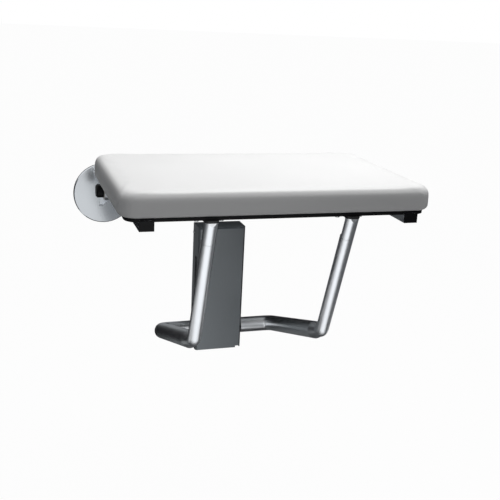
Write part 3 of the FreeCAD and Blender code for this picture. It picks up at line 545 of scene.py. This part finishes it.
class SEAT_OT_finishes(bpy.types.Operator):
    """Finishes for every rigid piece of the frame"""
    bl_idname = "wallseat.finishes"
    bl_label = "Metal, plastic and rubber finishes"

    def execute(self, context):
        metal = context.scene.seat_metal_sizes
        base_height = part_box("seat_board")[0][2] - metal.base_plate
        materials = {
            "board": make_board(),
            "moulded": make_moulded(),
            "tube": make_polished("polished_tube", metal.tube, TUBE_ROUGH, TUBE_SPREAD),
            "bracket": make_bracket(metal.tube, base_height, TUBE_ROUGH),
            "flange": make_polished("polished_flange", metal.flange, FLANGE_ROUGH, FLANGE_SPREAD),
            "rail": make_polished("satin_rail", metal.tube, RAIL_ROUGH, RAIL_SPREAD),
            "guide": make_satin("satin_guide", metal.guide, GUIDE_ROUGH),
            "zinc": make_zinc(),
            "nylon": make_nylon(),
            "rubber": make_rubber(),
        }
        for finish, names in FINISHES.items():
            for name in names:
                for slot in NODES[name].material_slots:
                    slot.material = materials[finish]
        return {"FINISHED"}


def plane(name, centre, right, up, material):
    """A flat card from its centre and its two half sides."""
    c, r, u = (np.array(v, float) for v in (centre, right, up))
    corners = [c - r - u, c + r - u, c + r + u, c - r + u]
    mesh = bpy.data.meshes.new(name)
    mesh.from_pydata([corner.tolist() for corner in corners], [], [(0, 1, 2, 3)])
    mesh.materials.append(material)
    card = bpy.data.objects.new(name, mesh)
    bpy.context.collection.objects.link(card)
    return card


def seen_white(g, shade, plain):
    """Mix shader that shows white to the camera and to reflections, and plain elsewhere."""
    rays = [g.node("ShaderNodeLightPath", output=name) for name in
            ("Is Camera Ray", "Is Glossy Ray", "Is Transmission Ray")]
    seen = g.node("ShaderNodeMath", {"operation": "ADD", "use_clamp": True},
                  {0: rays[0] + rays[1], 1: rays[2]})
    return g.node("ShaderNodeMixShader", None, {0: seen * shade[1], 1: plain, 2: shade[0]})


def make_studio(sizes):
    """World: even light, white where seen; floor: pale, keeps a faint shadow."""
    scene = bpy.context.scene
    world = bpy.data.worlds.new("studio")
    scene.world = world
    g = Graph(world)
    white = g.node("ShaderNodeBackground", None, {"Color": (1, 1, 1, 1), "Strength": 1.0})
    even = g.node("ShaderNodeBackground", None,
                  {"Color": (0.97, 0.98, 1.0, 1), "Strength": sizes.fill})
    g.node("ShaderNodeOutputWorld", None, {"Surface": seen_white(g, (white, 1.0), even)})
    material, g = new_graph("pale_floor")
    dull = g.node("ShaderNodeBsdfDiffuse", None, {"Color": (0.55, 0.55, 0.55, 1)})
    glow = g.node("ShaderNodeEmission", None, {"Color": (1, 1, 1, 1), "Strength": 1.0})
    g.node("ShaderNodeOutputMaterial", None, {"Surface": seen_white(g, (glow, FLOOR_WHITE), dull)})
    plane("studio_floor", (0, 0, sizes.floor_drop), (FLOOR_HALF, 0, 0), (0, FLOOR_HALF, 0), material)


def card_finish(name, colour):
    """A plain glow of one colour for a card."""
    material, g = new_graph(name)
    glow = g.node("ShaderNodeEmission", None, {"Color": colour, "Strength": 1.0})
    g.node("ShaderNodeOutputMaterial", None, {"Surface": glow})
    return material


def make_cards():
    """Cards for the metal to reflect, none of them seen by the camera.

    The left card also colours what it faces, and the gap card also casts shadow. The rest show
    in reflections only, and some stand in front of the camera or close to the seat. The under and
    flange cards are painted shade of the seat, and the front card is a painted pool of light.
    """
    finishes = {kind: card_finish(kind + "_card", colour) for kind, colour in CARD_COLOURS.items()}
    for name, centre, right, up, kind in CARDS:
        card = plane(name, centre, right, up, finishes[kind])
        card.visible_camera = False
        card.visible_diffuse = name == "card_left"
        card.visible_shadow = name == "card_gap"
        card.visible_transmission = False


def area_light(name, place, aim, size, power):
    data = bpy.data.lights.new(name, "AREA")
    data.shape = "RECTANGLE"
    data.size, data.size_y = size
    data.energy = power
    lamp = bpy.data.objects.new(name, data)
    bpy.context.collection.objects.link(lamp)
    lamp.location = place
    lamp.rotation_euler = (Vector(aim) - Vector(place)).to_track_quat("-Z", "Y").to_euler()
    return lamp


def make_camera():
    """The photograph's viewpoint: turned left, tipped down and slightly rolled."""
    yaw, pitch, roll = CAMERA_YAW, CAMERA_PITCH, CAMERA_ROLL
    forward = Vector((math.sin(yaw) * math.cos(pitch), math.cos(yaw) * math.cos(pitch),
                      -math.sin(pitch)))
    level = Vector((math.cos(yaw), -math.sin(yaw), 0.0))
    down = forward.cross(level)
    right = math.cos(roll) * level + math.sin(roll) * down
    lower = -math.sin(roll) * level + math.cos(roll) * down
    turn = Matrix((right, -lower, -forward)).transposed()
    data = bpy.data.cameras.new("camera")
    data.sensor_width = SENSOR
    data.lens = FOCAL_PIXELS * SENSOR / FRAME_PIXELS
    data.clip_end = 100.0
    camera = bpy.data.objects.new("camera", data)
    bpy.context.collection.objects.link(camera)
    camera.matrix_world = Matrix.Translation(Vector(CAMERA_PLACE)) @ turn.to_4x4()
    bpy.context.scene.camera = camera


class SEAT_OT_stage(bpy.types.Operator):
    """Pale floor, soft lights and the photograph's camera"""
    bl_idname = "wallseat.stage"
    bl_label = "Studio"

    def execute(self, context):
        sizes = context.scene.seat_stage_sizes
        context.scene.view_settings.view_transform = "Standard"
        make_studio(sizes)
        make_cards()
        area_light("overhead", LAMP_PLACE, LAMP_AIM, LAMP_SIZE, sizes.key)
        make_camera()
        return {"FINISHED"}


class SEAT_PT_panel(bpy.types.Panel):
    """Shows the wall seat's sizes and the buttons for its three steps"""
    bl_label = "Wall seat"
    bl_idname = "SEAT_PT_panel"
    bl_space_type = "VIEW_3D"
    bl_region_type = "UI"
    bl_category = "Wall seat"

    def draw(self, context):
        for name in ("seat_cushion_sizes", "seat_metal_sizes", "seat_stage_sizes"):
            group = getattr(context.scene, name)
            for key in group.bl_rna.properties.keys():
                if key not in ("rna_type", "name"):
                    self.layout.prop(group, key)
        for operator in (SEAT_OT_cushion, SEAT_OT_finishes, SEAT_OT_stage):
            self.layout.operator(operator.bl_idname)


CLASSES = (CushionSizes, MetalSizes, StageSizes, SEAT_OT_cushion, SEAT_OT_finishes, SEAT_OT_stage,
           SEAT_PT_panel)
GROUPS = {"seat_cushion_sizes": CushionSizes, "seat_metal_sizes": MetalSizes,
          "seat_stage_sizes": StageSizes}


def register():
    for item in CLASSES:
        bpy.utils.register_class(item)
    for name, group in GROUPS.items():
        setattr(bpy.types.Scene, name, bpy.props.PointerProperty(type=group))


def unregister():
    for name in GROUPS:
        delattr(bpy.types.Scene, name)
    for item in reversed(CLASSES):
        bpy.utils.unregister_class(item)


def main():
    register()
    bpy.ops.wallseat.finishes()
    bpy.ops.wallseat.cushion()
    bpy.ops.wallseat.stage()


if __name__ == "__main__":
    main()
